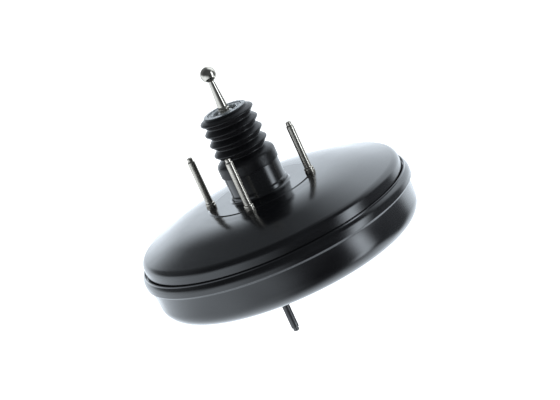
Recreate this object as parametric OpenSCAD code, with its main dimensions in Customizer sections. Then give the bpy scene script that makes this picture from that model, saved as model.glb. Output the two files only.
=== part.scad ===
// Vacuum brake booster, single diaphragm, 11 inch class.
// Millimetres. +Z points to the pedal, z = 0 is the pad that meets the bulkhead.

/* [Rear shell] */
// Radius of the flat pad between the studs
pad_r = 58; // [56:0.5:60]
// Radius of the curve from the pad into the cone
crown_r = 138; // [130:1:150]
// Slope of the cone that the dome ends in
cone_slope = 20.9; // [20:0.1:22]
// Outer radius of the wall that enters the rim
wall_r = 147.4; // [147:0.1:147.6]
// Radius of the shoulder between cone and wall
shoulder_r = 5; // [4:0.5:6]
// Sheet thickness of both shells
sheet_t = 1.6; // [1.4:0.1:1.8]
// Outer radius of the neck
neck_r = 31; // [30.5:0.1:31.5]
// Outer radius of the spigot that carries the boot
spigot_r = 29; // [28.8:0.1:29.2]
// Top of the spigot
spigot_top = 38.5; // [36:0.5:40]

/* [Front shell] */
// Outer radius of the rolled rim
rim_r = 153.5; // [153:0.1:154]
// Height of the rim's top edge
rim_top = -33; // [-33.4:0.1:-32.8]
// Outer radius of the drum wall
drum_r = 149.2; // [148.8:0.1:149.4]
// Height of the front annulus
annulus_z = -87.5; // [-89:0.5:-87]
// Radius of the drum's front corner
corner_r = 19; // [15:1:21]
// Height of the face that carries the master cylinder
boss_z = -104; // [-105:0.5:-103]
// Outer radius of that face
boss_r = 74; // [73:0.5:76]
// Radius of the bore for the master cylinder's spigot
spigot_bore_r = 25.2; // [24:0.1:26]
// Height of the bore's inner ledge
ledge_z = -86; // [-87:0.5:-85]

/* [Studs] */
// Side of the square of bulkhead studs
stud_square = 82; // [80:0.5:84]
// Length of a bulkhead stud above the pad
rear_stud_l = 58.6; // [50:0.2:62]
// Height of the plain collar at each bulkhead stud
collar_h = 5.6; // [4:0.2:8]
// Distance between the two master cylinder studs
front_stud_gap = 125; // [122:0.5:128]
// Angle of the line through the master cylinder studs
front_stud_angle = 38; // [30:1:44]
// Height of a master cylinder stud's tip
front_stud_tip = -140.5; // [-144:0.5:-136]
// Thread radius of every stud
stud_r = 4; // [4:0.5:4]

/* [Boot] */
// Height of the lowest fold's tip
first_fold_z = 52.4; // [52:0.1:53]
// Distance from fold to fold
fold_pitch = 12; // [11.8:0.1:12.1]
// Number of folds
folds = 4; // [4:1:4]
// Outer radius of a fold's tip
fold_tip_r = 29.8; // [29:0.1:30.5]
// Outer radius of the root between two folds
fold_root_r = 24.9; // [24.6:0.1:25.2]
// Wall of the folds
boot_t = 1.5; // [1.3:0.1:1.6]
// Outer radius of the cuff on the spigot
cuff_r = 32.2; // [31.8:0.1:32.6]
// Height of the boot's top face
boot_top = 94.7; // [94.5:0.1:95]

/* [Servo unit] */
// Radius of the valve body's tube
tube_r = 22; // [21.8:0.1:22.2]
// Rear end of the tube
tube_top = 92; // [91.5:0.1:92.2]
// Radius of the rear bore in the tube
rear_bore_r = 18.9; // [18.8:0.1:19]
// Outer radius of the diaphragm plate's rolling skirt
skirt_r = 124; // [120:0.5:125]
// Radius of the reaction disc's bore
reaction_bore_r = 14.5; // [14:0.1:15]
// Radius of the push rod's ball
ball_r = 8; // [7.8:0.1:8.2]
// Height of the ball's centre
ball_z = 136.4; // [134:0.2:138]
// Radius of the ball inside the valve plunger
inner_ball_r = 5.5; // [5.4:0.05:5.5]
// Height of that ball's centre, where the rod tilts
tilt_z = 14; // [13.5:0.1:14.5]

/* [Springs] */
// Wire of the main return spring
return_wire = 4; // [3.6:0.1:4.2]
// Coil radius of the main spring at its large front end
return_big_r = 50; // [48:0.5:51]
// Coil radius of the main spring at its small rear end
return_small_r = 28; // [27.5:0.1:28.5]
// Active turns of the main spring
return_turns = 5; // [4:0.5:6]

/* [Vacuum connection] */
// Distance of the check valve from the axis
port_r = 105.5; // [104:0.5:107]
// Direction of the check valve seen from the pedal
port_angle = 60; // [50:5:80]
// Hole in the front shell for the grommet
port_hole_r = 9; // [8.8:0.1:9.2]
// Length of the hose spigot from the valve's axis
hose_l = 38; // [34:1:40]

/* [Hidden] */
$fn = 96;

neck_inner_r = neck_r - sheet_t;
plate_top = -17.4;
plate_t = 1;
diaphragm_t = 1.6;
head_h = 2.5;
plate_thick = 2.2;
rear_plate_top = -sheet_t - 0.4;
flange_z = -36;
front_plate_low = boss_z + sheet_t;
port_face = annulus_z + 1.8;
key_low = -8.4;
key_t = 2.8;
guide_r = 7.1;
air_bore_r = 10.8;
disc_floor = -16;
tube_low = -10.5;
hub_r = 34;
hub_groove_r = 30.5;
hub_groove_top = -13;
nose_r = 20;
nose_low = -27.5;
seat_z = 30;

// Points of an arc about [r, z] from angle a to angle b
function arc(r, z, rad, a, b, n = 6) =
    [for (i = [0:n]) [r + rad * cos(a + (b - a) * i / n), z + rad * sin(a + (b - a) * i / n)]];
function unit(v) = v / norm(v);
function normal(p, i) = let (d = unit(p[i + 1] - p[i])) [-d[1], d[0]];
// Point i of a path moved square to it by t, mitred at the corner
function moved(p, i, t) =
    let (a = normal(p, max(i - 1, 0)), b = normal(p, min(i, len(p) - 2)), m = unit(a + b))
    p[i] + t * m / (m * b);

// Pressed or moulded wall: a path given a thickness to one side
module wall(path, t) {
    polygon(concat(path, [for (i = [len(path) - 1:-1:0]) moved(path, i, t)]));
}

// Turned ring with a rectangular section
module ring(r_in, r_out, low, high) {
    translate([0, 0, low])
        difference() {
            cylinder(r = r_out, h = high - low);
            translate([0, 0, -1]) cylinder(r = r_in, h = high - low + 2);
        }
}

// Places a child at each bulkhead stud
module at_rear_studs() {
    for (x = [-1, 1], y = [-1, 1])
        translate([x * stud_square / 2, y * stud_square / 2, 0]) children();
}

// Places a child at each master cylinder stud
module at_front_studs() {
    for (side_sign = [-1, 1])
        rotate([0, 0, front_stud_angle])
            translate([side_sign * front_stud_gap / 2, 0, 0]) children();
}

module at_port() {
    rotate([0, 0, port_angle]) translate([port_r, 0, 0]) children();
}

// Coil spring of round wire with half a flat dead turn at each end
module coil(r0, z0, r1, z1, wire, turns, steps = 20, sides = 8) {
    dead = 0.5;
    total = turns + 2 * dead;
    count = round(total * steps);
    function lift(t) = min(max((t - dead) / turns, 0), 1);
    points = [
        for (i = [0:count])
            let (t = total * i / count, a = 360 * t, r = r0 + (r1 - r0) * lift(t), z = z0 + (z1 - z0) * lift(t))
                for (j = [0:sides - 1])
                    let (b = 360 * (j + 0.5) / sides, w = r + wire / 2 * cos(b))
                        [w * cos(a), w * sin(a), z + wire / 2 * sin(b)]
    ];
    skin = [
        for (i = [0:count - 1], j = [0:sides - 1])
            let (k = (j + 1) % sides)
                [i * sides + j, i * sides + k, (i + 1) * sides + k, (i + 1) * sides + j]
    ];
    start = [for (j = [sides - 1:-1:0]) j];
    finish = [for (j = [0:sides - 1]) count * sides + j];
    polyhedron(points = points, faces = concat([start], skin, [finish]), convexity = 12);
}

// Outside of the rear shell from the spigot's top to the clamped flange
function rear_path() = let (
    foot_r = pad_r + crown_r * sin(cone_slope),
    foot_z = crown_r * (cos(cone_slope) - 1),
    corner_z = foot_z - (wall_r - foot_r) * tan(cone_slope),
    half = (90 - cone_slope) / 2,
    cut = shoulder_r * tan(half)
) concat(
    [[spigot_r, spigot_top], [spigot_r, 29.4], [neck_r, 27.4], [neck_r, 7], [neck_r + 1.3, 5.8]],
    arc(neck_r + 4.3, 3, 3, 180, 270, 6),
    [[pad_r, 0]],
    arc(pad_r, -crown_r, crown_r, 88, 90 - cone_slope, 10),
    arc(wall_r - shoulder_r, corner_z - cut, shoulder_r, 90 - cone_slope, 0, 6),
    [[wall_r + 0.5, flange_z], [rim_r - 2.1, flange_z]]
);

module rear_shell() {
    color([0.03, 0.03, 0.035])
        difference() {
            rotate_extrude() wall(rear_path(), -sheet_t);
            at_rear_studs() translate([0, 0, -10]) cylinder(r = 5.6, h = 20);
        }
}

// Outside of the front shell from the rolled rim to the inner ledge
function front_path() = concat(
    arc(rim_r - 2, rim_top - 2, 2, 130, 0, 6),
    arc(rim_r - 6, -41, 6, 0, -60, 6),
    [[drum_r + 1.2, -47.4], [drum_r, -49]],
    arc(drum_r - 0.6 - corner_r, annulus_z + corner_r, corner_r, 0, -90, 12),
    [
        [port_r + 16.5, annulus_z], [port_r + 14, port_face],
        [port_r - 14, port_face], [port_r - 16.5, annulus_z]
    ],
    arc(boss_r + 10, annulus_z - 5, 5, 90, 160, 4),
    arc(boss_r, boss_z + 4, 4, 0, -90, 5),
    arc(spigot_bore_r + 3, boss_z + 3, 3, -90, -180, 5),
    [[spigot_bore_r, ledge_z - 1.5], [spigot_bore_r - 1.5, ledge_z], [15, ledge_z]]
);

module front_shell() {
    color([0.03, 0.03, 0.035])
        difference() {
            rotate_extrude() wall(front_path(), -sheet_t);
            at_front_studs() translate([0, 0, boss_z - 5]) cylinder(r = 4.6, h = 12);
            at_port() translate([0, 0, annulus_z - 5]) cylinder(r = port_hole_r, h = 12);
        }
}

// Plate behind the pad that spreads the load of the bulkhead studs
module rear_reinforcement() {
    color([0.45, 0.45, 0.42])
        difference() {
            ring(31.6, 66, rear_plate_top - plate_thick, rear_plate_top);
            at_rear_studs() translate([0, 0, -10]) cylinder(r = 5.6, h = 12);
        }
}

module front_reinforcement() {
    color([0.45, 0.45, 0.42])
        difference() {
            ring(28.8, boss_r - 2, front_plate_low, front_plate_low + plate_thick);
            at_front_studs() translate([0, 0, front_plate_low - 1]) cylinder(r = 4.6, h = 5);
        }
}

// Studs: pressed head inside, plain collar, thread and a reduced pilot tip
module rear_studs() {
    color([0.72, 0.7, 0.64])
        at_rear_studs() {
            translate([0, 0, rear_plate_top - plate_thick - head_h]) cylinder(r = 8, h = head_h);
            translate([0, 0, rear_plate_top - plate_thick])
                cylinder(r = 5.5, h = collar_h + plate_thick - rear_plate_top);
            translate([0, 0, collar_h]) cylinder(r = stud_r, h = rear_stud_l - 4.4 - collar_h);
            translate([0, 0, rear_stud_l - 4.4]) cylinder(r1 = stud_r, r2 = 3, h = 0.9);
            translate([0, 0, rear_stud_l - 3.5]) cylinder(r = 3, h = 3);
            translate([0, 0, rear_stud_l - 0.5]) cylinder(r1 = 3, r2 = 2.5, h = 0.5);
        }
}

module front_studs() {
    head_z = front_plate_low + plate_thick;
    color([0.3, 0.31, 0.32])
        at_front_studs() {
            translate([0, 0, head_z]) cylinder(r = 7, h = head_h);
            translate([0, 0, boss_z]) cylinder(r = 4.5, h = head_z - boss_z);
            translate([0, 0, front_stud_tip + 4.2]) cylinder(r = stud_r, h = boss_z - front_stud_tip - 4.2);
            translate([0, 0, front_stud_tip + 3.3]) cylinder(r1 = 3, r2 = stud_r, h = 0.9);
            translate([0, 0, front_stud_tip + 0.5]) cylinder(r = 3, h = 2.8);
            translate([0, 0, front_stud_tip]) cylinder(r1 = 2.5, r2 = 3, h = 0.5);
        }
}

// Steel cup in the neck; its inner flange is the stop for the retaining key
module seal_retainer() {
    color([0.6, 0.6, 0.58])
        rotate_extrude()
            wall([[24.4, -5.5], [29.1, -5.5], [29.1, 13.6]], 1.2);
}

// Two lips wipe the valve body's tube
module neck_seal() {
    color([0.06, 0.06, 0.06])
        rotate_extrude()
            polygon([
                [27.8, -4.1], [27.8, 13.4], [25.4, 13.4], [24.4, 12.2], [22.7, 13.2], [22.3, 12.4],
                [24.2, 9], [25, 5], [24.2, 2], [22.3, -1.6], [22.7, -2.6], [24.6, -2.2], [25.6, -4.1]
            ]);
}

module neck_bush() {
    color([0.75, 0.72, 0.62])
        difference() {
            ring(tube_r + 0.08, neck_inner_r - 0.1, 13.8, 26);
            for (a = [0:45:315])
                rotate([0, 0, a]) translate([neck_inner_r - 2.2, -2, 12]) cube([4, 4, 15]);
        }
}

// Bellows profile: one rounded root and one rounded tip for each fold
function fold_path() = [
    for (k = [0:folds - 1], q = [0, 1])
        let (
            z = first_fold_z + (k + (q - 1) / 2) * fold_pitch,
            rad = q == 0 ? 1.3 : 2.1,
            r = q == 0 ? fold_root_r + rad : fold_tip_r - rad
        )
            for (p = arc(r, z, rad, q == 0 ? 245 : -65, q == 0 ? 115 : 65, 5)) p
];

module boot() {
    shoulder = 5.5;
    path = concat(
        arc(cuff_r - shoulder, spigot_top - 1, shoulder, 0, 60, 5),
        fold_path(),
        [[24.2, boot_top - 3]],
        arc(22.8, boot_top - 1.2, 1.2, 10, 90, 3),
        [[19.3, boot_top]]
    );
    color([0.05, 0.05, 0.05])
        rotate_extrude() {
            wall(path, boot_t);
            polygon(concat(
                [[spigot_r + 0.15, 29.6], [neck_r + 0.1, 27.6], [cuff_r - 0.5, 27.6]],
                [[cuff_r, 28.3]],
                [[cuff_r, spigot_top - 1]],
                arc(cuff_r - shoulder, spigot_top - 1, shoulder, 0, 60, 5),
                [[27.6, spigot_top + 0.1], [spigot_r + 0.15, spigot_top + 0.1]]
            ));
        }
}

// Lip seal round the output rod, snapped over the ledge of the front shell
module front_seal() {
    color([0.06, 0.06, 0.06])
        rotate_extrude()
            polygon([
                [9, ledge_z - 3], [19, ledge_z - 2.4], [19, ledge_z - 0.1], [14.9, ledge_z - 0.1],
                [14.9, ledge_z + sheet_t + 0.1], [18.5, ledge_z + sheet_t + 0.1], [17.5, ledge_z + 4.2],
                [11, ledge_z + 4.6], [7.6, ledge_z + 7], [6.4, ledge_z + 6.4], [8.6, ledge_z + 2.6]
            ]);
}

// Rolling diaphragm: hub bead, flat web, fold round the skirt and the clamped rim bead
module diaphragm() {
    fold_r = 7;
    turn_r = skirt_r - 15;
    side_r = skirt_r + diaphragm_t;
    bead_in = side_r + 2 * fold_r + 4.6;
    path = concat(
        [[hub_r + 3, plate_top + diaphragm_t]],
        arc(turn_r, plate_top - 15, 15 + diaphragm_t, 90, 0, 8),
        arc(side_r + fold_r, -44, fold_r, 180, 360, 8),
        [[side_r + 2 * fold_r + 0.4, -42.4], [side_r + 2 * fold_r + 2.4, -40.6], [bead_in, -40]]
    );
    color([0.07, 0.07, 0.07])
        rotate_extrude()
            polygon(concat(
                [
                    [hub_groove_r + 0.1, plate_top + 0.1], [hub_groove_r + 0.1, hub_groove_top - 0.1],
                    [hub_r, hub_groove_top - 0.1]
                ],
                path,
                [[bead_in + 0.4, flange_z - sheet_t - 0.2], [rim_r - 2, flange_z - sheet_t - 0.2]],
                arc(rim_r - 6, -41, 4.3, 0, -62, 5),
                [[bead_in + 0.4, -46.4]],
                [for (i = [len(path) - 1:-1:0]) moved(path, i, 0.1 - diaphragm_t)]
            ));
}

module return_spring() {
    color([0.5, 0.5, 0.48])
        coil(
            return_big_r, front_plate_low + plate_thick + return_wire / 2,
            return_small_r, plate_top - 2 * plate_t - 0.2 - return_wire / 2,
            return_wire, return_turns, steps = 22
        );
}

// Moulded valve body: tube, hub with the diaphragm groove, and nose with the reaction bore
module valve_body() {
    color([0.05, 0.05, 0.055])
        difference() {
            rotate_extrude()
                polygon([
                    [rear_bore_r, tube_top], [tube_r - 0.8, tube_top], [tube_r, tube_top - 1.4],
                    [tube_r, tube_low + 2], [tube_r + 2, tube_low], [hub_r - 1, tube_low],
                    [hub_r, tube_low - 0.8], [hub_r, hub_groove_top], [hub_groove_r, hub_groove_top],
                    [hub_groove_r, plate_top], [24, plate_top], [24, plate_top - plate_t],
                    [nose_r, plate_top - plate_t], [nose_r, nose_low], [reaction_bore_r, nose_low],
                    [reaction_bore_r, disc_floor], [guide_r, disc_floor], [guide_r, -10],
                    [air_bore_r, -10], [air_bore_r, seat_z], [11.5, seat_z], [11.8, seat_z + 1.7],
                    [12.5, seat_z + 1.7], [12.8, seat_z], [17.4, seat_z], [17.4, 43], [rear_bore_r, 43]
                ]);
            translate([-40, -11, key_low - 0.2]) cube([80, 22, key_t + 0.4]);
            for (a = [60, 120, 240, 300])
                rotate([0, 0, a]) translate([15.2, 0, -19]) cylinder(r = 2, h = 60, $fn = 32);
            for (a = [60, 120, 240, 300])
                rotate([0, 0, a]) translate([17, 0, nose_low - 1]) cylinder(r = 2, h = 9, $fn = 32);
        }
}

// Pressed plate that carries the diaphragm, with a rolled skirt
module diaphragm_plate() {
    color([0.62, 0.6, 0.5])
        rotate_extrude()
            wall(concat(
                [[24.1, plate_top]],
                arc(skirt_r - 15, plate_top - 15, 15, 90, 0, 8),
                [[skirt_r, -38], [skirt_r - 1.4, -40]]
            ), -plate_t);
}

// Forked plate that ties the plunger to the valve body
module retaining_key() {
    color([0.6, 0.6, 0.58])
        translate([0, 0, key_low])
            linear_extrude(key_t)
                difference() {
                    translate([-27.5, -10.6]) square([55, 21.2]);
                    circle(r = 5.3);
                    translate([-40, -5.3]) square([40, 10.6]);
                }
}

module reaction_disc() {
    color([0.1, 0.1, 0.1])
        translate([0, 0, disc_floor - 6]) cylinder(r = reaction_bore_r - 0.1, h = 5.95);
}

// Rod to the master cylinder: head in the reaction bore, shaft, hexagon and tapped end
module output_rod() {
    color([0.7, 0.68, 0.6])
        difference() {
            union() {
                rotate_extrude()
                    polygon([
                        [0, disc_floor - 6.1], [reaction_bore_r - 0.15, disc_floor - 6.1],
                        [reaction_bore_r - 0.15, disc_floor - 11.3], [9, disc_floor - 12],
                        [6, disc_floor - 15], [6, -98], [0, -98]
                    ]);
                translate([0, 0, -103]) cylinder(r = 6, h = 5.5, $fn = 6);
            }
            translate([0, 0, -104]) cylinder(r = 3.05, h = 18, $fn = 48);
        }
}

module adjusting_screw() {
    color([0.62, 0.62, 0.62]) {
        translate([0, 0, -103]) cylinder(r = 3, h = 15, $fn = 48);
        translate([0, 0, -106.5]) cylinder(r = 5.4, h = 3.5, $fn = 6);
        translate([0, 0, -112]) cylinder(r = 4, h = 5.6);
        translate([0, 0, -112]) sphere(r = 4);
    }
}

// Pressed cup over the nose: holds the rod's head and seats the main spring
module output_rod_retainer() {
    color([0.6, 0.6, 0.58])
        rotate_extrude()
            wall([
                [33, plate_top - plate_t - 0.1], [nose_r + 0.15, plate_top - plate_t - 0.1],
                [nose_r + 0.15, nose_low - 0.7], [9.6, nose_low - 0.7]
            ], plate_t);
}

// Rubber sleeve: face that closes on both seats, rolling wall and clamped rear bead
module poppet_valve() {
    face = seat_z + 2.3;
    color([0.08, 0.08, 0.08])
        rotate_extrude()
            polygon([
                [7, face], [14.2, face], [14.6, face + 0.6], [14.6, face + 3.6], [14, face + 6],
                [15, face + 9.5], [17, face + 11], [18.7, face + 11.8], [18.7, face + 14.6],
                [15.8, face + 14.6], [15.6, face + 12.4], [13.6, face + 10.8], [12.8, face + 6.2],
                [12.8, face + 2.2], [7, face + 2.2]
            ]);
}

module poppet_washer() {
    color([0.7, 0.7, 0.68]) ring(7.6, 12.7, seat_z + 4.6, seat_z + 5.6);
}

module poppet_spring() {
    color([0.6, 0.6, 0.6])
        coil(11, seat_z + 6.4, 11, 47.8, 1.2, 3, steps = 18, sides = 6);
}

// Steel cup that clamps the sleeve's bead and seats both small springs
module poppet_retainer() {
    color([0.65, 0.65, 0.62])
        rotate_extrude()
            wall([[rear_bore_r - 0.1, 47], [rear_bore_r - 0.1, 49.8], [6.9, 49.8]], 1.2);
}

module rod_return_spring() {
    color([0.6, 0.6, 0.6])
        coil(8.2, 50.7, 8.2, 63.1, 1.6, 3.5, steps = 18, sides = 6);
}

module air_filter() {
    color([0.85, 0.84, 0.8]) ring(13, rear_bore_r - 0.1, 67, 88.7);
}

// Cap over the filter with a ring of air slots
module filter_cap() {
    color([0.7, 0.72, 0.72])
        difference() {
            rotate_extrude()
                polygon([
                    [13, 90.4], [13.8, 88.8], [rear_bore_r - 0.1, 88.8], [rear_bore_r - 0.1, 92.4],
                    [18, 93.2], [13.6, 93.2], [13, 92.6]
                ]);
            for (a = [15:30:345])
                rotate([0, 0, a]) translate([14.6, -1.6, 85]) cube([2.8, 3.2, 12]);
        }
}

// Air valve: nose on the reaction disc, groove for the key, ball socket and air seat
module valve_plunger() {
    stem_r = guide_r - 0.05;
    mouth_r = 4.4;
    color([0.72, 0.72, 0.7])
        difference() {
            rotate_extrude()
                polygon([
                    [0, -14.3], [stem_r - 0.8, -14.3], [stem_r, -13.5], [stem_r, key_low - 0.05],
                    [5, key_low - 0.05], [5, -3.5], [stem_r, -3.5], [stem_r, 4], [8.4, 5.5],
                    [8.4, 27.5], [9.3, 29], [9.3, 32.2], [8.3, 32.2], [8.1, 31.2], [6.6, 31.2],
                    [6.2, 23], [mouth_r, 18.6], [0, 18.6]
                ]);
            translate([0, 0, tilt_z]) sphere(r = inner_ball_r + 0.1);
            translate([0, 0, tilt_z]) cylinder(r = mouth_r, h = 6);
        }
}

// Forged rod: inner ball, spring groove, flared stop ring, taper and pedal ball
module input_rod() {
    color([0.78, 0.76, 0.7]) {
        translate([0, 0, tilt_z]) sphere(r = inner_ball_r);
        rotate_extrude()
            polygon([
                [0, tilt_z], [3.4, tilt_z], [3.4, 20], [4, 22], [4, 63.9], [3.6, 63.9],
                [3.6, 65.3], [4.4, 65.3], [5, 68], [5, 94.6], [6.2, 95.2], [6.2, 96.4],
                [5.2, 97.2], [4.8, 100], [3, ball_z - 7], [3, ball_z], [0, ball_z]
            ]);
        translate([0, 0, ball_z]) sphere(r = ball_r);
    }
}

module rod_spring_washer() {
    color([0.6, 0.6, 0.58]) ring(3.7, 9.6, 64, 65.2);
}

// Silencer ring that closes the mouth of the filter round the rod
module rod_collar() {
    color([0.88, 0.88, 0.86])
        difference() {
            ring(5.05, 8.3, 89.6, 93);
            translate([0, 0, 92.2])
                rotate_extrude() polygon([[8.31, 0], [8.31, 0.9], [7.4, 0.9]]);
        }
}

module vacuum_grommet() {
    color([0.06, 0.06, 0.06])
        at_port()
            translate([0, 0, port_face])
                rotate_extrude()
                    polygon([
                        [6.3, -5.5], [11.6, -5.5], [12.6, -4.6], [12.6, -0.1], [port_hole_r - 0.1, -0.1],
                        [port_hole_r - 0.1, sheet_t + 0.1], [12, sheet_t + 0.1], [10.6, 5.2],
                        [6.3, 6.6]
                    ]);
}

// Inlet half of the check valve: stem in the grommet, flange and the disc's seat
module check_valve_inlet() {
    top = port_face + 9;
    low = port_face - 5.6;
    color([0.12, 0.12, 0.12])
        at_port()
            rotate_extrude()
                polygon([
                    [3.6, top], [5.6, top], [7.1, top - 2.2], [6.2, top - 2.4], [6.2, low],
                    [13, low], [13, low - 3], [10.3, low - 3], [10.3, low - 2], [6.2, low - 2],
                    [5.8, low - 3.4], [4.8, low - 3.4], [3.6, low - 2]
                ]);
}

// Outlet half: chamber with a hose spigot that points outwards
module check_valve_housing() {
    top = port_face - 8.7;
    depth = 12;
    hose_z = top - 6.2;
    color([0.1, 0.1, 0.1])
        at_port()
            difference() {
                union() {
                    translate([0, 0, top - depth]) cylinder(r = 13, h = depth);
                    translate([0, 0, hose_z]) rotate([0, 90, 0]) cylinder(r = 5.5, h = hose_l);
                    for (x = [hose_l - 13, hose_l - 3])
                        translate([x, 0, hose_z])
                            rotate([0, 90, 0]) cylinder(r1 = 6.6, r2 = 5.2, h = 3);
                }
                translate([0, 0, top - depth + 2]) cylinder(r = 10.4, h = depth);
                translate([8, 0, hose_z]) rotate([0, 90, 0]) cylinder(r = 3.6, h = hose_l);
            }
}

module check_valve_disc() {
    seat = port_face - 9;
    color([0.08, 0.08, 0.08])
        at_port() translate([0, 0, seat - 2.1]) cylinder(r = 7.5, h = 2);
}

module check_valve_spring() {
    seat = port_face - 9;
    color([0.6, 0.6, 0.6])
        at_port() coil(5.4, seat - 9.3, 5.4, seat - 2.5, 0.7, 3, steps = 16, sides = 6);
}

rear_shell();
front_shell();
rear_reinforcement();
front_reinforcement();
rear_studs();
front_studs();
neck_seal();
seal_retainer();
neck_bush();
boot();
front_seal();
diaphragm();
return_spring();
valve_body();
diaphragm_plate();
retaining_key();
reaction_disc();
output_rod();
adjusting_screw();
output_rod_retainer();
poppet_valve();
poppet_washer();
poppet_spring();
poppet_retainer();
rod_return_spring();
air_filter();
filter_cap();
valve_plunger();
input_rod();
rod_spring_washer();
rod_collar();
vacuum_grommet();
check_valve_inlet();
check_valve_housing();
check_valve_disc();
check_valve_spring();
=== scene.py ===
"""Vacuum brake booster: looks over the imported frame.

The scene is in metres, with +Z to the pedal and z = 0 on the mounting pad. Profiles are in millimetres.
"""

import math

import bmesh
import bpy
from mathutils import Matrix, Vector


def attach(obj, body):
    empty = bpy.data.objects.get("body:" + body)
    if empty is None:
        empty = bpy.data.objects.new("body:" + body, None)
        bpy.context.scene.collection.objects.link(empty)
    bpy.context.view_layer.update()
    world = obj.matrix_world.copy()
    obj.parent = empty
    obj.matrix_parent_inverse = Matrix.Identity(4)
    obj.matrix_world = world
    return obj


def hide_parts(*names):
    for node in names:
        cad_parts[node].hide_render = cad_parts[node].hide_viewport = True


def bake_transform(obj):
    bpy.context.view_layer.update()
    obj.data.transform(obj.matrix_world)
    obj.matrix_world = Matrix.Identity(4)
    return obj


MM = 0.001
TINY = 1e-6
HERE = Matrix.Identity(4)

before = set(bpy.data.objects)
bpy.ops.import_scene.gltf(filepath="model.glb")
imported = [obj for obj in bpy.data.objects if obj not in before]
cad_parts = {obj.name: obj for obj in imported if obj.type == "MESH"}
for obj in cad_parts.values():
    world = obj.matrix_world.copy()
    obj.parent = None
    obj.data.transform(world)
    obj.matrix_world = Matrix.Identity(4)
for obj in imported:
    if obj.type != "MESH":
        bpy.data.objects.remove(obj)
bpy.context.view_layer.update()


# Profile helpers, in millimetres: a profile is a list of (radius, height) points


def arc(r, z, rad, a, b, n=8):
    """Points on a circle round (r, z), from a to b degrees."""
    steps = [math.radians(a + (b - a) * i / n) for i in range(n + 1)]
    return [(r + rad * math.cos(t), z + rad * math.sin(t)) for t in steps]


def line(p, q, n):
    """Points from p to q, both ends included."""
    return [(p[0] + (q[0] - p[0]) * i / n, p[1] + (q[1] - p[1]) * i / n) for i in range(n + 1)]


def raised(points, z):
    """The points moved up by z."""
    return [(r, z + h) for r, h in points]


def offset(path, t):
    """The path moved square to itself by t, mitred at its corners."""
    moved = []
    for i in range(len(path)):
        before = path[max(i - 1, 0)], path[max(i, 1)]
        after = path[min(i, len(path) - 2)], path[min(i + 1, len(path) - 1)]
        normals = []
        for (ax, ay), (bx, by) in (before, after):
            length = math.hypot(bx - ax, by - ay)
            normals.append(Vector((-(by - ay) / length, (bx - ax) / length)))
        middle = (normals[0] + normals[1]).normalized()
        step = middle * (t / max(middle.dot(normals[1]), 0.4))
        moved.append((path[i][0] + step.x, path[i][1] + step.y))
    return moved


def walled(path, t):
    """Closed profile of a wall that follows the path."""
    return path + offset(path, t)[::-1]


def softened(points, radius, sharp=(), n=4):
    """A closed profile with its corners rounded, apart from the indices in sharp."""
    out = []
    count = len(points)
    for i, p in enumerate(points):
        p = Vector(p)
        a = Vector(points[i - 1]) - p
        b = Vector(points[(i + 1) % count]) - p
        room = min(a.length, b.length) * 0.45
        if i in sharp or room < 1e-4 or a.angle(b) > math.radians(165):
            out.append(tuple(p))
            continue
        cut = min(radius, room)
        start = p + a.normalized() * cut
        end = p + b.normalized() * cut
        for k in range(n + 1):
            t = k / n
            out.append(tuple(start * (1 - t) ** 2 + p * (2 * t * (1 - t)) + end * t**2))
    return out


# Mesh helpers: a part is a pair (vertices, faces)

BOX_FACES = [[0, 1, 3, 2], [4, 6, 7, 5], [0, 4, 5, 1], [2, 3, 7, 6], [0, 2, 6, 4], [1, 5, 7, 3]]


def corners(xs, ys, zs):
    """The eight corners that BOX_FACES joins."""
    return [(x, y, z) for x in xs for y in ys for z in zs]


def new_object(name, verts, faces, material, sharp_angle=38):
    """A smooth object of points in millimetres. Edges over sharp_angle degrees stay sharp."""
    mesh = bpy.data.meshes.new(name)
    mesh.from_pydata([[c * MM for c in v] for v in verts], [], faces)
    whole = bmesh.new()
    whole.from_mesh(mesh)
    bmesh.ops.recalc_face_normals(whole, faces=whole.faces)
    whole.to_mesh(mesh)
    whole.free()
    mesh.shade_smooth()
    mesh.set_sharp_from_angle(angle=math.radians(sharp_angle))
    mesh.materials.append(material)
    made = bpy.data.objects.new(name, mesh)
    bpy.context.scene.collection.objects.link(made)
    return made


def turned(profile, steps, relief=None):
    """A closed profile turned about Z. relief(angle, radius, height) gives a new (radius, height)."""
    on_axis = [abs(r) < TINY for r, z in profile]
    verts, rows = [], []
    for k, (r, z) in enumerate(profile):
        if on_axis[k]:
            verts.append((0.0, 0.0, z))
            rows.append([len(verts) - 1] * steps)
            continue
        row = []
        for i in range(steps):
            a = 2 * math.pi * i / steps
            rr, zz = relief(a, r, z) if relief else (r, z)
            verts.append((rr * math.cos(a), rr * math.sin(a), zz))
            row.append(len(verts) - 1)
        rows.append(row)
    faces = []
    for k in range(len(profile)):
        following = (k + 1) % len(profile)
        lower, upper = rows[k], rows[following]
        if on_axis[k] and on_axis[following]:
            continue
        for i in range(steps):
            j = (i + 1) % steps
            ring = [lower[i], lower[j], upper[j], upper[i]]
            face = [v for n, v in enumerate(ring) if v not in ring[:n]]
            if len(face) > 2:
                faces.append(face)
    return verts, faces


def tube(points, rad, sides):
    """A round bar along a list of points."""
    points = [Vector(p) for p in points]
    verts, faces = [], []
    for i, p in enumerate(points):
        run = (points[min(i + 1, len(points) - 1)] - points[max(i - 1, 0)]).normalized()
        across = Vector((p.x, p.y, 0)).normalized()
        across = (across - run * across.dot(run)).normalized()
        up = run.cross(across)
        for j in range(sides):
            b = 2 * math.pi * j / sides
            verts.append(tuple(p + across * (rad * math.cos(b)) + up * (rad * math.sin(b))))
    for i in range(len(points) - 1):
        for j in range(sides):
            k = (j + 1) % sides
            faces.append([i * sides + j, (i + 1) * sides + j, (i + 1) * sides + k, i * sides + k])
    faces.append(list(range(sides)))
    faces.append([(len(points) - 1) * sides + j for j in range(sides)][::-1])
    return verts, faces


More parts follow.
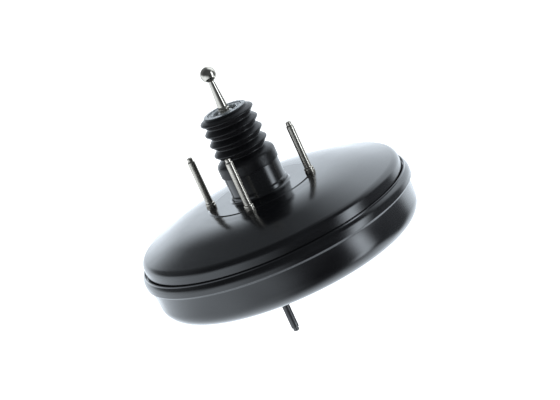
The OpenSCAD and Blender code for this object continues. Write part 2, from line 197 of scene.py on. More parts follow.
def coil(low, high, wire, turns, steps=24, sides=10, share=(0, 1)):
    """Spring of round wire from (radius, height) low to high, with half a flat turn at each end."""
    dead = 0.5
    count = round((turns + 2 * dead) * steps)
    points = []
    for i in range(round(count * share[0]), round(count * share[1]) + 1):
        turn = i / steps
        lift = min(max((turn - dead) / turns, 0), 1)
        r = low[0] + (high[0] - low[0]) * lift
        a = 2 * math.pi * turn
        points.append((r * math.cos(a), r * math.sin(a), low[1] + (high[1] - low[1]) * lift))
    return tube(points, wire / 2, sides)


def joined(name, parts, material, **kw):
    """One object of several parts, each with the place it goes to (a matrix in millimetres)."""
    verts, faces = [], []
    for (part_verts, part_faces), place in parts:
        start = len(verts)
        verts += [tuple(place @ Vector(p)) for p in part_verts]
        faces += [[start + i for i in face] for face in part_faces]
    return new_object(name, verts, faces, material, **kw)


def lathe(name, profile, material, steps, relief=None, places=(HERE,), **kw):
    """One object of a turned profile, set at each of the places."""
    part = turned(profile, steps, relief)
    return joined(name, [(part, place) for place in places], material, **kw)


# Materials


class Nodes:
    """Short calls for building one material's node tree."""

    def __init__(self, name):
        self.mat = bpy.data.materials.new(name)
        self.mat.use_nodes = True
        self.tree = self.mat.node_tree
        self.shader = self.tree.nodes["Principled BSDF"]
        self.place = self.tree.nodes.new("ShaderNodeTexCoord").outputs["Object"]

    def add(self, kind, **values):
        """A node whose inputs are linked to sockets or set to plain values."""
        node = self.tree.nodes.new(kind)
        for key, value in values.items():
            socket = node.inputs[key.replace("_", " ")]
            if isinstance(value, bpy.types.NodeSocket):
                self.tree.links.new(value, socket)
            else:
                socket.default_value = value
        return node

    def noise(self, scale, detail=3.0, stretch=None):
        """Soft noise in object space, finer as scale grows."""
        place = self.place
        if stretch:
            place = self.add("ShaderNodeMapping", Vector=place, Scale=stretch).outputs["Vector"]
        return self.add("ShaderNodeTexNoise", Vector=place, Scale=scale, Detail=detail).outputs["Fac"]

    def remap(self, value, low, high, start=0.3, stop=0.7):
        """low where the value is start and high where it is stop."""
        node = self.add("ShaderNodeMapRange", Value=value)
        ends = ("From Min", start), ("From Max", stop), ("To Min", low), ("To Max", high)
        for key, number in ends:
            node.inputs[key].default_value = number
        return node.outputs["Result"]

    def blend_colour(self, fac, a, b):
        """Colour a where fac is 0 and b where it is 1."""
        node = self.tree.nodes.new("ShaderNodeMix")
        node.data_type = "RGBA"
        self.tree.links.new(fac, node.inputs["Factor"])
        node.inputs["A"].default_value = (*a, 1)
        node.inputs["B"].default_value = (*b, 1)
        return node.outputs["Result"]

    def bump(self, height, distance, strength=1.0, before=None):
        """Relief with its depth in metres, on top of the relief before it."""
        node = self.add("ShaderNodeBump", Height=height, Strength=strength, Distance=distance)
        if before:
            self.tree.links.new(before, node.inputs["Normal"])
        return node.outputs["Normal"]

    def set(self, **values):
        """Inputs of the shader, linked to sockets or set to plain values."""
        for key, value in values.items():
            socket = self.shader.inputs[key.replace("_", " ")]
            if isinstance(value, bpy.types.NodeSocket):
                self.tree.links.new(value, socket)
            else:
                socket.default_value = value


def finish_material(
    name, colour, other, rough, metal=0.0, grain=900, bump=0.00002, stretch=None, **fixed
):
    """Two shades mixed by a soft noise, roughness by a second and relief by a third."""
    n = Nodes(name)
    tint = n.remap(n.noise(55), 0, 1)
    n.set(Base_Color=n.blend_colour(tint, colour, other), Metallic=metal)
    n.set(Roughness=n.remap(n.noise(140, 4, stretch), rough[0], rough[1]))
    n.set(Normal=n.bump(n.noise(grain, 4, stretch), bump))
    n.set(**fixed)
    return n.mat


def metal_material(name, colour, other, rough, grain=1500, **kw):
    """Bare or plated metal."""
    return finish_material(name, colour, other, rough, metal=1.0, grain=grain, **kw)


def paint_material():
    """Gloss black paint over a pressed sheet: faint orange peel, slow waves and a little dust haze."""
    n = Nodes("shell_paint")
    haze = n.remap(n.noise(26, 5), 0, 1, 0.35, 0.75)
    n.set(Base_Color=n.blend_colour(haze, (0.0045, 0.0045, 0.0055), (0.0075, 0.0078, 0.009)))
    n.set(Roughness=n.remap(n.noise(38, 4), 0.15, 0.21))
    waves = n.bump(n.noise(14, 2), 0.0004, 0.25)
    n.set(Normal=n.bump(n.noise(520, 3), 0.00003, 0.25, waves))
    n.set(IOR=1.6)
    return n.mat


def rubber_material(name, colour, other, rough, sheen):
    """Dull rubber with a trace of dust and a coarse and a fine grain."""
    n = Nodes(name)
    dust = n.remap(n.noise(70, 6), 0, 1, 0.4, 0.72)
    n.set(Base_Color=n.blend_colour(dust, colour, other))
    n.set(Roughness=n.remap(n.noise(180, 4), rough - 0.07, rough + 0.08))
    coarse = n.bump(n.noise(260, 4), 0.00012, 0.5)
    n.set(Normal=n.bump(n.noise(2400, 3), 0.00003, 0.5, coarse))
    n.set(Sheen_Weight=sheen, Sheen_Roughness=0.5, IOR=1.5, Specular_IOR_Level=0.3)
    return n.mat


# A darker edge reflection keeps the bright metals visible against the white ground
DARK_EDGE = (0.25, 0.25, 0.25, 1)

MAT = {
    "paint": paint_material(),
    "boot": rubber_material("boot_rubber", (0.005, 0.005, 0.006), (0.01, 0.01, 0.011), 0.36, 0.01),
    # The boot's top face in a light grey copy of the black rubber: a painted reflection of the bright
    # ground that the flat top catches at a grazing angle
    "boot_top": finish_material(
        "boot_top_rubber", (0.2, 0.22, 0.23), (0.09, 0.1, 0.105), (0.2, 0.34), bump=0.00008,
    ),
    "seal": rubber_material("seal_rubber", (0.012, 0.012, 0.012), (0.022, 0.022, 0.022), 0.6, 0.1),
    "diaphragm": rubber_material(
        "diaphragm_rubber", (0.016, 0.016, 0.016), (0.03, 0.03, 0.03), 0.7, 0.15,
    ),
    "stud": metal_material(
        "stud_zinc", (0.62, 0.58, 0.51), (0.52, 0.485, 0.43), (0.2, 0.3),
        grain=1800, bump=0.00001, Specular_Tint=DARK_EDGE,
    ),
    "dark_stud": metal_material(
        "front_stud_zinc", (0.13, 0.13, 0.13), (0.085, 0.085, 0.085), (0.36, 0.5),
        grain=1800, Specular_Tint=DARK_EDGE,
    ),
    "rod": metal_material(
        "rod_steel", (0.6, 0.565, 0.5), (0.52, 0.49, 0.44), (0.1, 0.18),
        grain=1200, bump=0.00001, stretch=(1, 1, 6), Specular_Tint=DARK_EDGE,
    ),
    "plate": metal_material(
        "plated_sheet", (0.5, 0.47, 0.37), (0.43, 0.42, 0.37), (0.28, 0.42), grain=700,
    ),
    "steel": metal_material(
        "turned_steel", (0.5, 0.5, 0.49), (0.4, 0.4, 0.4), (0.22, 0.36), stretch=(1, 1, 9),
    ),
    "spring": metal_material("spring_steel", (0.3, 0.3, 0.29), (0.21, 0.21, 0.205), (0.3, 0.46)),
    "valve_plastic": finish_material(
        "valve_body_plastic", (0.014, 0.014, 0.015), (0.022, 0.022, 0.023), (0.38, 0.52), grain=1600,
    ),
    "port_plastic": finish_material(
        "port_plastic", (0.016, 0.016, 0.017), (0.026, 0.026, 0.027), (0.34, 0.48),
        grain=1400, bump=0.00003,
    ),
    # Grey plastic, lightened to paint in the reflection of the bright ground that the flat top catches
    # at a grazing angle
    "cap": finish_material(
        "cap_plastic_and_painted_reflection", (0.5, 0.53, 0.54), (0.32, 0.345, 0.35), (0.3, 0.45), grain=1300, bump=0.00003,
    ),
    "felt": finish_material(
        "filter_felt", (0.66, 0.65, 0.62), (0.5, 0.49, 0.46), (0.85, 0.95),
        bump=0.0003, Sheen_Weight=0.3,
    ),
    "ring": finish_material(
        "ring_nylon", (0.72, 0.73, 0.72), (0.6, 0.61, 0.6), (0.35, 0.5), grain=1300,
    ),
    "bush": finish_material(
        "bush_nylon", (0.6, 0.57, 0.48), (0.5, 0.47, 0.4), (0.4, 0.52), grain=1300,
    ),
}

# Solids that are shown as they are
NODE_MATERIALS = {
    "seal": ("neck_seal", "front_seal", "reaction_disc", "check_valve_disc"),
    "plate": ("diaphragm_plate", "rear_reinforcement", "front_reinforcement"),
    "steel": (
        "seal_retainer", "retaining_key", "output_rod", "adjusting_screw", "output_rod_retainer",
        "poppet_washer", "poppet_retainer", "valve_plunger", "rod_spring_washer",
    ),
    "valve_plastic": ("valve_body",),
    "port_plastic": ("check_valve_inlet",),
    "felt": ("air_filter",),
    "bush": ("neck_bush",),
}
for key, names in NODE_MATERIALS.items():
    for node_name in names:
        for node_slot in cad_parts[node_name].material_slots:
            node_slot.material = MAT[key]


# Shells: dome with a pressed pad edge, round shoulder and rolled rim

SHEET = 1.6
PAD_EDGE_R, CROWN_R, CROWN_DROP, CONE_SLOPE = 60, 180, -1.05, 18
WALL_R, SHOULDER_R, FLANGE_Z = 147.4, 8, -36
SPIGOT_R, SPIGOT_TOP, SPIGOT_FOOT, NECK_R = 29, 38.5, 29.6, 31
RIM_R, RIM_TOP, DRUM_R, CORNER_R, ANNULUS_Z = 153.5, -33, 149.2, 19, -87.5
PORT_R, PORT_ANGLE, PORT_FACE, RECESS_HALF = 105.5, 60, ANNULUS_Z + 1.8, 16.5
BOSS_R, BOSS_Z, BORE_R, LEDGE_Z, LEDGE_R = 74, -104, 25.2, -86, 15
SHELL_STEPS = 288


def rear_outline():
    """Neck, flat pad with a pressed edge, shallow ring, full crown, cone, round shoulder and wall."""
    slope = math.radians(CONE_SLOPE)
    foot_r = PAD_EDGE_R + CROWN_R * math.sin(slope)
    foot_z = CROWN_DROP + CROWN_R * (math.cos(slope) - 1)
    corner_z = foot_z - (WALL_R - foot_r) * math.tan(slope)
    cut = SHOULDER_R * math.tan((math.pi / 2 - slope) / 2)
    top = [(SPIGOT_R, SPIGOT_TOP), (SPIGOT_R, SPIGOT_FOOT)] + arc(SPIGOT_R + 1, 28.4, 1, 60, 0, 3)
    neck = [(NECK_R - 0.4, 27.9), (NECK_R, 27.2), (NECK_R, 7.2)]
    neck += [(NECK_R + 0.35, 6.5), (NECK_R + 1.0, 5.9)]
    fillet = arc(NECK_R + 4.3, 3, 3, 180, 270, 10)
    pad = line((NECK_R + 4.8, 0), (PAD_EDGE_R - 1.8, 0), 5)
    pad += arc(PAD_EDGE_R - 1.5, -1.2, 1.2, 88, 50, 5)
    ring = arc(PAD_EDGE_R + 1, 0.28, 1, 235, 268, 5)
    ring += [(PAD_EDGE_R + 4, -0.82), (PAD_EDGE_R + 7, -1.02), (PAD_EDGE_R + 10, -1.26)]
    crown = arc(PAD_EDGE_R, CROWN_DROP - CROWN_R, CROWN_R, 86, 90 - CONE_SLOPE, 20)
    shoulder = arc(WALL_R - SHOULDER_R, corner_z - cut, SHOULDER_R, 90 - CONE_SLOPE, 0, 18)
    wall = line(shoulder[-1], (WALL_R + 0.5, FLANGE_Z), 3)[1:]
    return top + neck + fillet + pad + ring + crown + shoulder + wall + [(RIM_R - 2.1, FLANGE_Z)]


def front_outline():
    """Rolled rim with its lip, band, bead, drum, corner, recess for the port, boss, bore and ledge."""
    roll = arc(RIM_R - 3.75, RIM_TOP - 0.8, 0.8, 160, 0, 8) + [(RIM_R - 2.95, RIM_TOP - 1.55)]
    roll += arc(RIM_R - 9, RIM_TOP - 8.4, 9, 47, 0, 12)
    band = [(RIM_R, RIM_TOP - 9), (RIM_R, RIM_TOP - 10.8)] + arc(RIM_R - 2.2, -44.6, 2.2, 0, -72, 8)
    bead = [(DRUM_R + 1.9, -46.85), (DRUM_R + 1.2, -47.1), (DRUM_R + 0.5, -47.9), (DRUM_R, -49.2)]
    corner = arc(DRUM_R - 0.6 - CORNER_R, ANNULUS_Z + CORNER_R, CORNER_R, 0, -90, 26)
    step = [(0, ANNULUS_Z), (0.6, ANNULUS_Z + 0.15), (1.9, PORT_FACE - 0.2), (2.6, PORT_FACE)]
    recess = [(PORT_R + RECESS_HALF - r, z) for r, z in step]
    rise = [(PORT_R - RECESS_HALF + r, z) for r, z in step[::-1]]
    boss = arc(BOSS_R + 10, ANNULUS_Z - 5, 5, 90, 160, 8) + arc(BOSS_R, BOSS_Z + 4, 4, 0, -90, 10)
    bore = arc(BORE_R + 3, BOSS_Z + 3, 3, -90, -180, 8)
    bore += [(BORE_R, LEDGE_Z - 1.5), (BORE_R - 1.5, LEDGE_Z), (LEDGE_R, LEDGE_Z)]
    return roll + band + bead + corner + recess + rise + boss + bore


shell_rear = lathe(
    "shell_rear_painted", walled(rear_outline(), -SHEET), MAT["paint"],
    steps=SHELL_STEPS, sharp_angle=60,
)
shell_front = lathe(
    "shell_front_painted", walled(front_outline(), -SHEET), MAT["paint"],
    steps=SHELL_STEPS, sharp_angle=60,
)


# Studs: rolled thread between the collar and the reduced pilot tip

REAR_SQUARE = 41
FRONT_STUD_R, FRONT_STUD_ANGLE, FRONT_TIP = 62.5, 38, -140.5
STUD_R, STUD_SEGMENTS = 4, 32
THREAD_PITCH, THREAD_DEPTH, THREAD_ROWS = 1.25, 0.12, 6
REAR_THREAD = 5.7, 53.6
FRONT_THREAD = FRONT_TIP + 4.4, -108


def thread_rows(low, high):
    """Rows close enough for the thread's crests and roots."""
    count = int(round((high - low) / THREAD_PITCH * THREAD_ROWS))
    return [(STUD_R, low + (high - low) * i / count) for i in range(count + 1)]


def thread_relief(low, high):
    """Cuts the helical groove between low and high, fading in and out at the ends."""
    groove_half = 0.36
    fade_length = 0.7 * THREAD_PITCH

    def relief(a, r, z):
        if not low <= z <= high or abs(r - STUD_R) > TINY:
            return r, z
        phase = (z / THREAD_PITCH - a / (2 * math.pi)) % 1
        cut = max(0.0, 1 - abs(phase - 0.5) / groove_half)
        fade = min(1, (z - low) / fade_length, (high - z) / fade_length)
        return r - THREAD_DEPTH * cut * max(fade, 0), z

    return relief


def stud_places(points):
    """The move to each (x, y) point."""
    return [Matrix.Translation((x, y, 0)) for x, y in points]


rear_profile = (
    [(0, -6.7), (7.5, -6.7), (8, -6.2), (8, -4.7), (7.6, -4.2), (5.4, -4.2), (5.4, 0)]
    + [(5.4, 1.7), (5.1, 2), (4.9, 2.2), (4.9, 2.7), (5.2, 3), (5.25, 4.3), (5, 4.8), (4.5, 5.1)]
    + [(4, 5.3)]
    + thread_rows(*REAR_THREAD)
    + [(3.6, 54.3), (3.05, 54.9), (3, 55.2), (3, 57.7), (2.85, 58.3), (2.4, 58.6), (0, 58.6)]
)
rear_points = [(sx * REAR_SQUARE, sy * REAR_SQUARE) for sx in (-1, 1) for sy in (-1, 1)]
studs_rear = lathe(
    "bulkhead_studs_threaded", rear_profile, MAT["stud"], steps=STUD_SEGMENTS,
    relief=thread_relief(*REAR_THREAD), places=stud_places(rear_points),
)

front_line = math.radians(FRONT_STUD_ANGLE)
front_x, front_y = FRONT_STUD_R * math.cos(front_line), FRONT_STUD_R * math.sin(front_line)
front_points = [(s * front_x, s * front_y) for s in (-1, 1)]
tip_rows = [(0, 0), (2.4, 0), (2.85, 0.3), (3, 0.8), (3, 3.1), (3.05, 3.4), (3.6, 3.9)]
head_z = BOSS_Z + SHEET + 2.2
front_profile = (
    raised(tip_rows, FRONT_TIP)
    + thread_rows(*FRONT_THREAD)
    + [(4, BOSS_Z - 0.4), (4.3, BOSS_Z - 0.1), (4.5, BOSS_Z + 0.1), (4.5, head_z - 0.1), (7, head_z)]
    + [(7, head_z + 2.2), (6.6, head_z + 2.5), (0, head_z + 2.5)]
)
studs_front = lathe(
    "cylinder_studs_threaded", front_profile, MAT["dark_stud"], steps=STUD_SEGMENTS,
    relief=thread_relief(*FRONT_THREAD), places=stud_places(front_points),
)


# Boot: cuff on the neck, four folds and the vented top face

BOOT_T = 1.5
FIRST_FOLD, FOLD_PITCH, FOLDS = 52.4, 12, 4
TIP_R, ROOT_R, BOOT_TOP = 29.8, 24.9, 94.7
CUFF_R, CUFF_LOW, CUFF_ROUND = 32.2, 27.6, 5.5


def boot_outline():
    """Closed profile: cuff, folds and top face outside, then back down along the inside."""

    def cuff_arc(start, n):
        return arc(CUFF_R - CUFF_ROUND, SPIGOT_TOP - 1, CUFF_ROUND, start, 60, n)

    cuff = [(SPIGOT_R + 0.15, SPIGOT_FOOT), (NECK_R + 0.1, CUFF_LOW), (CUFF_R - 0.6, CUFF_LOW)]
    cuff += arc(CUFF_R - 0.7, 28.3, 0.7, -80, 0, 4)
    cuff += line((CUFF_R, 31.5), (CUFF_R, SPIGOT_TOP - 2), 3) + cuff_arc(0, 12)
    folds = []
    for k in range(FOLDS):
        z = FIRST_FOLD + k * FOLD_PITCH
        folds += arc(ROOT_R + 1.3, z - FOLD_PITCH / 2, 1.3, 245, 115, 12)
        folds += arc(TIP_R - 1.5, z, 1.5, -62, 62, 12)
    top = line((26.4, 91.2), (24.4, BOOT_TOP - 2.9), 2)
    top += arc(22.8, BOOT_TOP - 1.2, 1.2, 10, 90, 6) + [(19.3, BOOT_TOP)]
    inner = offset(cuff_arc(40, 3) + folds + top, BOOT_T)[::-1]
    inner += [(27.6, SPIGOT_TOP + 0.1), (SPIGOT_R + 0.15, SPIGOT_TOP + 0.1)]
    return cuff + folds + top + inner


boot = lathe("boot_bellows", boot_outline(), MAT["boot"], steps=192, sharp_angle=70)
# Faces on the top of the boot get the light grey copy, the painted reflection of the bright ground
boot.data.materials.append(MAT["boot_top"])
for face in boot.data.polygons:
    if face.center.z > (BOOT_TOP - 0.5) * MM and face.normal.z > 0.5:
        face.material_index = 1


# Push rod: ball, taper, flared ring and the groove for its spring washer

BALL_Z, BALL_R, TILT_Z, INNER_BALL_R = 135.8, 8.4, 14, 5.5
ROD_TIP_R = 3.4


def rod_outline():
    """Inner ball, neck with the washer's groove, flared ring, taper and outer ball."""
    inner = arc(0, TILT_Z, INNER_BALL_R, -90, 50, 18)
    neck = [(3.4, 18.6), (3.4, 20), (4, 22), (4, 63.9), (3.6, 63.9), (3.6, 65.3), (4.4, 65.3), (5, 68)]
    ring = [(5, 94.4), (5.5, 94.8), (6.0, 95.1), (6.2, 95.4), (6.2, 96.2), (6.0, 96.6), (5.3, 97.2)]
    taper = line((5.4, 97.6), (ROD_TIP_R, 125), 10) + [(3.05, 127.4), (3.0, 128.4), (3.15, 129)]
    start = math.degrees(math.asin(math.sqrt(1 - (ROD_TIP_R / BALL_R) ** 2)))
    ball = arc(0, BALL_Z, BALL_R, -start, 90, 40)
    return [(0, TILT_Z - INNER_BALL_R)] + inner[1:] + neck + ring + taper + ball


rod = lathe("push_rod_turned", rod_outline(), MAT["rod"], steps=64, sharp_angle=34)


# Vacuum connection: rubber grommet and a chamber with a barbed hose spigot

AT_PORT = Matrix.Rotation(math.radians(PORT_ANGLE), 4, "Z") @ Matrix.Translation((PORT_R, 0, 0))
CHAMBER_TOP, CHAMBER_R, CHAMBER_BORE = PORT_FACE - 8.7, 13, 10.4
CHAMBER_LOW = CHAMBER_TOP - 12
HOSE_Z, HOSE_L, HOSE_R, HOSE_BORE = CHAMBER_TOP - 6.2, 38, 5.5, 3.6

grommet_profile = [
    (6.3, -5.5), (11.6, -5.5), (12.6, -4.6), (12.6, -0.1), (8.9, -0.1),
    (8.9, SHEET + 0.1), (12, SHEET + 0.1), (10.6, 5.2), (6.3, 6.6),
]
grommet = lathe(
    "port_grommet", softened(raised(grommet_profile, PORT_FACE), radius=0.7), MAT["seal"], steps=64,
    places=(AT_PORT,), sharp_angle=60,
)

chamber_profile = softened(
    [
        (0, CHAMBER_LOW), (11, CHAMBER_LOW), (CHAMBER_R, CHAMBER_LOW + 2), (CHAMBER_R, CHAMBER_TOP),
        (CHAMBER_BORE, CHAMBER_TOP), (CHAMBER_BORE, CHAMBER_TOP - 10), (0, CHAMBER_TOP - 10),
    ],
    radius=0.8, sharp=(0, 6),
)
hose_profile = [(HOSE_BORE, 8), (HOSE_R, 8)]
for barb in (HOSE_L - 13, HOSE_L - 3):
    hose_profile += [(HOSE_R, barb - 0.3), (6.3, barb), (6.6, barb + 0.3), (6.5, barb + 0.7)]
    hose_profile += [(HOSE_R, barb + 2.9)]
hose_profile[-1:] = [(5.3, HOSE_L - 0.4), (4.9, HOSE_L), (3.9, HOSE_L), (HOSE_BORE, HOSE_L - 0.4)]
hose_place = AT_PORT @ Matrix.Translation((0, 0, HOSE_Z)) @ Matrix.Rotation(math.radians(90), 4, "Y")

# Tapered web between the chamber and the hose spigot
WEB_START, WEB_END, WEB_HALF, WEB_HEIGHT, WEB_TAPER = 11, 21, 0.9, 5.6, 0.55
web_low, web_high = HOSE_Z - WEB_HEIGHT, HOSE_Z + WEB_HEIGHT
web_middle = (web_low + web_high) / 2
web_corners = [
    (x, y, z if x == WEB_START else web_middle + (z - web_middle) * WEB_TAPER)
    for x, y, z in corners((WEB_START, WEB_END), (-WEB_HALF, WEB_HALF), (web_low, web_high))
]
port_valve = joined(
    "port_valve_moulded",
    [
        (turned(chamber_profile, steps=72), AT_PORT),
        (turned(hose_profile, steps=48), hose_place),
        ((web_corners, BOX_FACES), AT_PORT),
    ],
    MAT["port_plastic"], sharp_angle=40,
)


# Vented cap over the filter, seen through the boot's top, and the silencer ring round the rod

CAP_BARS, CAP_LOW, CAP_TOP = 16, 89.9, 94.3
cap_rings = [
    [(16.9, CAP_LOW), (19, CAP_LOW), (19, 93.7), (18.5, CAP_TOP), (16.9, CAP_TOP)],
    [(13.1, 91.4), (13.8, CAP_LOW), (14.9, CAP_LOW), (14.9, CAP_TOP), (13.7, CAP_TOP), (13.1, 93.7)],
]
cap_parts = [(turned(softened(ring, radius=0.3), steps=96), HERE) for ring in cap_rings]
cap_bar = corners((14.5, 17.4), (-2.1, 2.1), (CAP_LOW, CAP_TOP - 0.2)), BOX_FACES
for bar in range(CAP_BARS):
    cap_parts.append((cap_bar, Matrix.Rotation(2 * math.pi * bar / CAP_BARS, 4, "Z")))
cap = joined("filter_cap_vented", cap_parts, MAT["cap"], sharp_angle=35)

collar_profile = [(5.1, 89.6), (8.3, 89.6), (8.3, 92.2), (7.5, 93), (5.1, 93)]
collar = lathe(
    "rod_silencer_ring", softened(collar_profile, radius=0.35), MAT["ring"], steps=72, sharp_angle=50,
)


# What each piece stands for, what it moves with and its finish

for piece, node_name, body, finish in (
    (grommet, "vacuum_grommet", "housing", "rubber"),
    (port_valve, "check_valve_housing", "housing", "black_nylon"),
    (cap, "filter_cap", "power_piston", "grey_plastic"),
    (collar, "rod_collar", "pushrod", "white_plastic"),
    (shell_rear, "rear_shell", "housing", "black_enamel"),
    (shell_front, "front_shell", "housing", "black_enamel"),
    (studs_rear, "rear_studs", "housing", "stud_zinc"),
    (studs_front, "front_studs", "housing", "stud_dark"),
    (rod, "input_rod", "pushrod", "bright_steel"),
):
    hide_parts(node_name)
    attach(piece, body)
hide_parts("boot")
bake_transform(boot)


# Pieces shown in place of their nodes: springs, the poppet's sleeve and the rolling diaphragm


def stretched(name, node, part, look, finish, fixed, moving, place=HERE):
    """An object in the look's material, shown in place of the node and baked where it stands. fixed and
    moving are pairs of a body and a height, and are not used.
    """
    piece = joined(name, [(part, place)], MAT[look])
    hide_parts(node)
    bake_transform(piece)


def spring(name, node, part, fixed, moving, **kw):
    """A spring of bare wire."""
    stretched(name, node, part, "spring", "spring_steel", fixed, moving, **kw)


ROD_SPRING = {"low": (8.2, 50.7), "high": (8.2, 63.1), "wire": 1.6, "turns": 3.5}
spring(
    "return_spring_coil", "return_spring",
    coil(low=(50, -98.2), high=(28, -21.6), wire=4, turns=5, steps=32, sides=12),
    ("housing", -96), ("power_piston", -24),
)
spring(
    "check_valve_spring_coil", "check_valve_spring",
    coil(low=(5.4, -104), high=(5.4, -97.2), wire=0.7, turns=3),
    ("housing", -103.6), ("check_disc", -97.6), place=AT_PORT,
)
spring(
    "poppet_spring_coil", "poppet_spring",
    coil(low=(11, 36.4), high=(11, 47.8), wire=1.2, turns=3),
    ("power_piston", 47.2), ("poppet", 37),
)
spring(
    "rod_spring_lower", "rod_return_spring", coil(**ROD_SPRING, share=(0, 0.5)),
    ("power_piston", 51), ("air_valve", 55.5),
)
spring(
    "rod_spring_upper", "rod_return_spring", coil(**ROD_SPRING, share=(0.5, 1)),
    ("air_valve", 57.5), ("pushrod", 62.6),
)

POPPET_FACE_Z = 32.3
sleeve = [
    (7, 0.6), (11, 0.6), (11.4, 0.1), (14.2, 0), (14.6, 0.6), (14.6, 3.6),
    (14, 6), (15, 9.5), (17, 11), (18.7, 11.8), (18.7, 14.6), (15.8, 14.6),
    (15.6, 12.4), (13.6, 10.8), (12.8, 6.2), (12.8, 2.2), (7, 2.2),
]
stretched(
    "poppet_sleeve", "poppet_valve",
    turned(softened(raised(sleeve, POPPET_FACE_Z), radius=0.25), steps=96),
    "seal", "rubber", ("power_piston", 43), ("poppet", 38.3),
)

# The diaphragm is cut at the bottom of its fold, which moves at half the piston's rate
FOLD_AT_R, FOLD_AT_Z, FOLD_R, DIAPHRAGM_T = 132.6, -44, 7, 1.5
FOLD_TURN_Z = -58
DIAPHRAGM_STEPS = 160
web = [(37, -15.8)] + arc(109, -32.4, 16.6, 90, 0, 12)
web += arc(FOLD_AT_R, FOLD_AT_Z, FOLD_R, 180, 270, 10)
web = [(30.6, -17.3), (30.6, -13.1), (34, -13.1)] + web + offset(web, -DIAPHRAGM_T)[::-1]
leg = arc(FOLD_AT_R, FOLD_AT_Z, FOLD_R, 270, 360, 10) + [(140, -42.4), (142, -40.6), (144.2, -40)]
bead = [(144.6, -37.8), (151.5, -37.8)] + arc(147.5, -41, 4.3, 0, -62, 6) + [(144.6, -46.4)]
rim = leg + bead + offset(leg, -DIAPHRAGM_T)[::-1]
stretched(
    "diaphragm_web", "diaphragm", turned(web, DIAPHRAGM_STEPS), "diaphragm", "rubber",
    ("housing", FOLD_TURN_Z), ("power_piston", FOLD_AT_Z),
)
stretched(
    "diaphragm_rim", "diaphragm", turned(rim, DIAPHRAGM_STEPS), "diaphragm", "rubber",
    ("housing", FOLD_AT_Z), ("power_piston", FOLD_TURN_Z),
)


# Camera at the photo's viewing angle

AXIS_POINT = Vector((0, 0, -0.034))
VIEW_AZIMUTH, VIEW_ELEVATION, VIEW_ROLL = math.radians(-27), math.radians(15.16), math.radians(24.51)
VIEW_DISTANCE = 2.5
MM_PER_PIXEL = 1.06
PHOTO_W = 560
PIXEL_SHIFT = (6.57, -17.5)
SENSOR = 36

side_x = Vector((math.cos(VIEW_AZIMUTH), math.sin(VIEW_AZIMUTH), 0))
front = Vector((math.sin(VIEW_AZIMUTH), -math.cos(VIEW_AZIMUTH), 0))
up = Vector((0, 0, 1))
back = front * math.cos(VIEW_ELEVATION) + up * math.sin(VIEW_ELEVATION)
level_up = back.cross(side_x)
right = side_x * math.cos(VIEW_ROLL) - level_up * math.sin(VIEW_ROLL)
top = side_x * math.sin(VIEW_ROLL) + level_up * math.cos(VIEW_ROLL)
centre = AXIS_POINT + (right * PIXEL_SHIFT[0] - top * PIXEL_SHIFT[1]) * MM_PER_PIXEL * MM

camera_data = bpy.data.cameras.new("camera")
camera_data.sensor_width = SENSOR
camera_data.lens = SENSOR * VIEW_DISTANCE / (PHOTO_W * MM_PER_PIXEL * MM)
camera = bpy.data.objects.new("camera", camera_data)
camera_turn = Matrix((right, top, back)).transposed().to_4x4()
camera.matrix_world = Matrix.Translation(centre + back * VIEW_DISTANCE) @ camera_turn
bpy.context.scene.collection.objects.link(camera)
bpy.context.scene.camera = camera


# Studio: pale floor far below, and soft light whose shapes the gloss paint mirrors

FLOOR_Z, FLOOR_HALF = -3.2, 60
floor_mesh = bpy.data.meshes.new("floor")
floor_mesh.from_pydata(
    [(x * FLOOR_HALF, y * FLOOR_HALF, FLOOR_Z) for x, y in ((-1, -1), (1, -1), (1, 1), (-1, 1))],
    [], [(0, 1, 2, 3)],
)
floor = bpy.data.objects.new("floor", floor_mesh)
floor_look = Nodes("floor_paper")
floor_look.set(Base_Color=(0.9, 0.9, 0.9, 1), Roughness=0.9)
floor_look.set(Emission_Color=(1, 1, 1, 1), Emission_Strength=1.0)
floor_mesh.materials.append(floor_look.mat)
bpy.context.scene.collection.objects.link(floor)
floor.visible_glossy = False

# Levels of the light, and for each step in it the two shares that it lies between. A share says
# how much a ray points right, up or back in the photo's view, from -1 to 1
COOL_WHITE = (0.84, 0.92, 1.0, 1)
ROOM_LEVEL = 0.1
BEHIND_STEP, HORIZON_STEP = (0.45, -0.35), (-0.1, -0.35)
BACKDROP_LEVEL, BACKDROP_BRIGHT, BACKDROP_SLANT = 0.25, 1.8, 0.72
BACKDROP_START, BACKDROP_STOP = (-0.95, -0.64), (0.85, 0.65)
TABLE_FAR, TABLE_NEAR, TABLE_FOOT, TABLE_LEFT, TABLE_RIGHT = 0.2, 1.2, 0.3, 0.7, 0.12
TABLE_STEP, FOOT_STEP, RIGHT_STEP = (-0.36, -0.74), (-0.7, -1.0), (-0.12, 0.5)
LEFT_STEP, LEFT_HEIGHT_STEP = (-0.2, -0.7), (-0.25, -0.45)
GROUND_LEFT, GROUND_RIGHT, GROUND_STEP = 1.7, 2.8, (-0.5, 0.1)
LAMP_START, LAMP_MIDDLE, LAMP_STOP = math.radians(46), math.radians(60), math.radians(76)
LAMP_FOOT_STEP, LAMP_HEAD_STEP = (-0.75, -0.5), (0.5, 0.2)
LAMP_LEVEL = 5.8


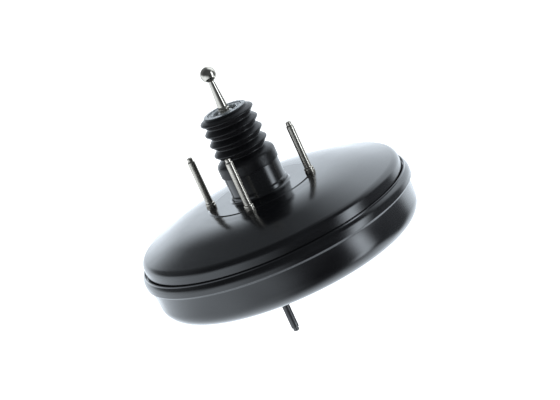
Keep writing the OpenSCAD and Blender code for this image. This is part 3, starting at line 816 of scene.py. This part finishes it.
def build_world():
    """Soft light from all round, laid out along the view's directions. The camera sees plain white."""
    world = bpy.data.worlds.new("studio")
    bpy.context.scene.world = world
    world.use_nodes = True
    tree = world.node_tree
    tree.nodes.clear()

    def make(kind, *inputs):
        """A node whose first inputs are linked to sockets or set to plain values."""
        node = tree.nodes.new(kind)
        for socket, value in zip(node.inputs, inputs):
            if isinstance(value, bpy.types.NodeSocket):
                tree.links.new(value, socket)
            else:
                socket.default_value = value
        return node

    def maths(operation, a, b):
        node = make("ShaderNodeMath", a, b)
        node.operation = operation
        return node.outputs[0]

    way = make("ShaderNodeTexCoord").outputs["Generated"]

    def toward(direction):
        """How much a ray points along the direction, from -1 to 1."""
        node = make("ShaderNodeVectorMath", way, tuple(direction))
        node.operation = "DOT_PRODUCT"
        return node.outputs["Value"]

    def rise(value, start, stop, low=0.0, high=1.0):
        """low at start, high at stop, smooth between; start may be the larger one."""
        if start > stop:
            start, stop, low, high = stop, start, high, low
        node = make("ShaderNodeMapRange", value, start, stop, low, high)
        node.interpolation_type = "SMOOTHSTEP"
        return node.outputs[0]

    def mixed(fac, a, b):
        first = maths("MULTIPLY", maths("SUBTRACT", 1.0, fac), a)
        return maths("ADD", first, maths("MULTIPLY", fac, b))

    def product(first, *others):
        for other in others:
            first = maths("MULTIPLY", first, other)
        return first

    across, height, depth = toward(right), toward(top), toward(back)
    behind = rise(depth, *BEHIND_STEP)
    slanted = maths("SUBTRACT", across, maths("MULTIPLY", height, BACKDROP_SLANT))
    bright = product(rise(slanted, *BACKDROP_START), rise(across, *BACKDROP_STOP), BACKDROP_BRIGHT)
    upper = mixed(behind, ROOM_LEVEL, maths("ADD", BACKDROP_LEVEL, bright))

    near = rise(height, *TABLE_STEP, TABLE_FAR, TABLE_NEAR)
    table = maths("ADD", near, rise(height, *FOOT_STEP, 0.0, TABLE_FOOT))
    left = product(rise(across, *LEFT_STEP), rise(height, *LEFT_HEIGHT_STEP), TABLE_LEFT)
    table = maths("MULTIPLY", maths("ADD", table, left), rise(across, *RIGHT_STEP, 1.0, TABLE_RIGHT))
    lower = mixed(behind, table, rise(across, *GROUND_STEP, GROUND_LEFT, GROUND_RIGHT))
    soft = mixed(rise(height, *HORIZON_STEP), upper, lower)

    lamp_side = maths("ARCTAN2", toward(side_x), toward(front))
    lamp = product(
        rise(lamp_side, LAMP_START, LAMP_MIDDLE), rise(lamp_side, LAMP_STOP, LAMP_MIDDLE),
        rise(toward(up), *LAMP_FOOT_STEP), rise(toward(up), *LAMP_HEAD_STEP), LAMP_LEVEL,
    )
    seen = make("ShaderNodeLightPath").outputs["Is Camera Ray"]
    light = make("ShaderNodeBackground", COOL_WHITE, maths("ADD", soft, lamp))
    white = make("ShaderNodeBackground", (1, 1, 1, 1), 1.0)
    choice = make("ShaderNodeMixShader", seen, light.outputs[0], white.outputs[0])
    make("ShaderNodeOutputWorld", choice.outputs[0])


build_world()
bpy.context.scene.view_settings.view_transform = "Standard"
